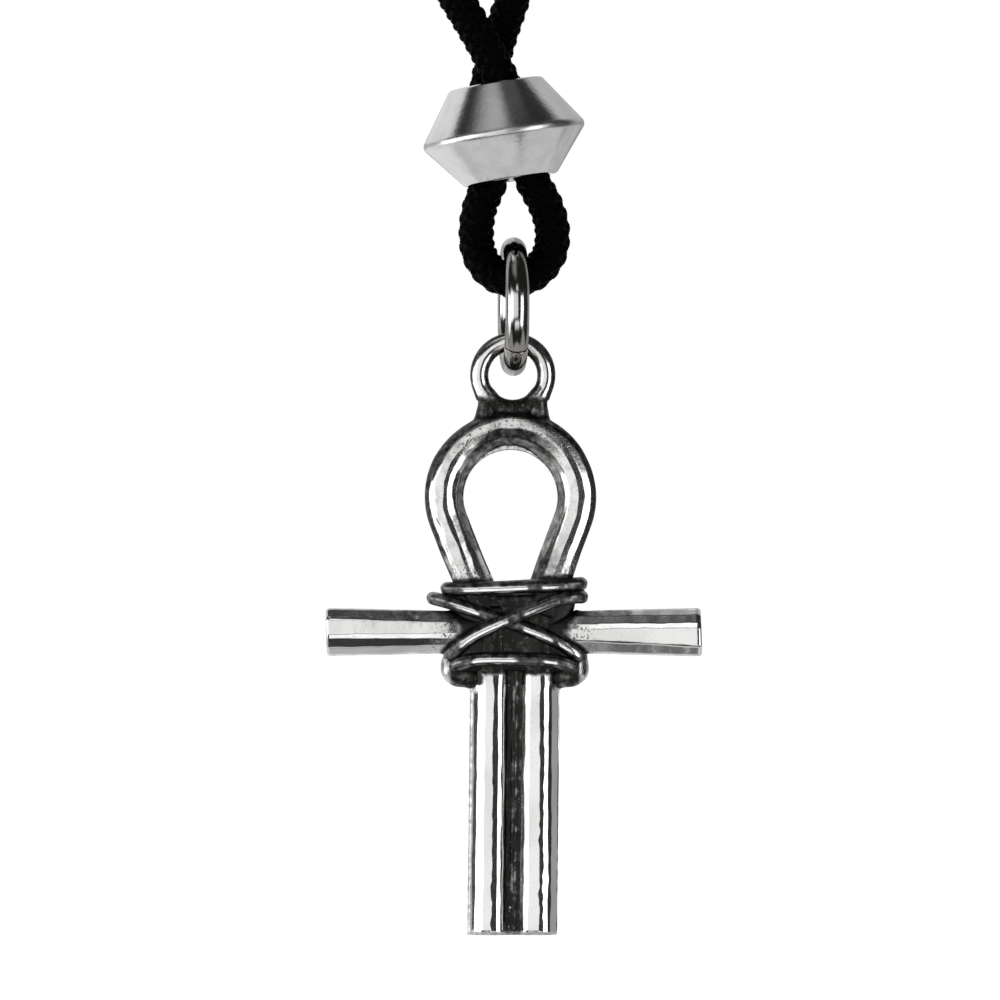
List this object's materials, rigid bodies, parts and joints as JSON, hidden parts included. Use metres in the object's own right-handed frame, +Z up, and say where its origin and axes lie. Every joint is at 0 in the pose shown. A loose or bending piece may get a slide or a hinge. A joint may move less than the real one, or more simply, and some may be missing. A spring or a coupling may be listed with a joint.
{
  "type": "ankh pendant on a cord necklace",
  "caption": "Wire-bound ankh pendant on a jump ring, hung under a two-cone bead on a braided black neck cord that forms a closed loop.",
  "frame": {"origin": "at the nape of the neck, in the middle of the sleeve that joins the cord's two ends", "axes": "+Z up, +X to the right as seen from the front, and -Y towards the front, where the pendant hangs"},
  "size_m": [0.1375, 0.1419, 0.2382],
  "materials": {
    "cord": "tight round braid, dull black",
    "sleeve_metal": "plain satin crimp tube",
    "bead_metal": "satin silver-coloured metal",
    "ring_metal": "polished wire",
    "ankh_metal": "polished cast pewter, blackened in its recesses"
  },
  "bodies": {
    "necklace": {"neck_cord": "cord", "nape_sleeve": "sleeve_metal", "bead": "bead_metal"},
    "ring": {"jump_ring": "ring_metal"},
    "pendant": {"ankh": "ankh_metal"}
  },
  "joints": [
    {"name": "ring_swing", "type": "hinge", "parent": "necklace", "child": "ring", "pos_m": [0.0001, -0.135, -0.195], "axis": [1, 0, 0], "range_deg": [-60, 60]},
    {"name": "pendant_swing", "type": "hinge", "parent": "ring", "child": "pendant", "pos_m": [0.0001, -0.135, -0.20033], "axis": [0, 1, 0], "range_deg": [-80, 80]}
  ]
}
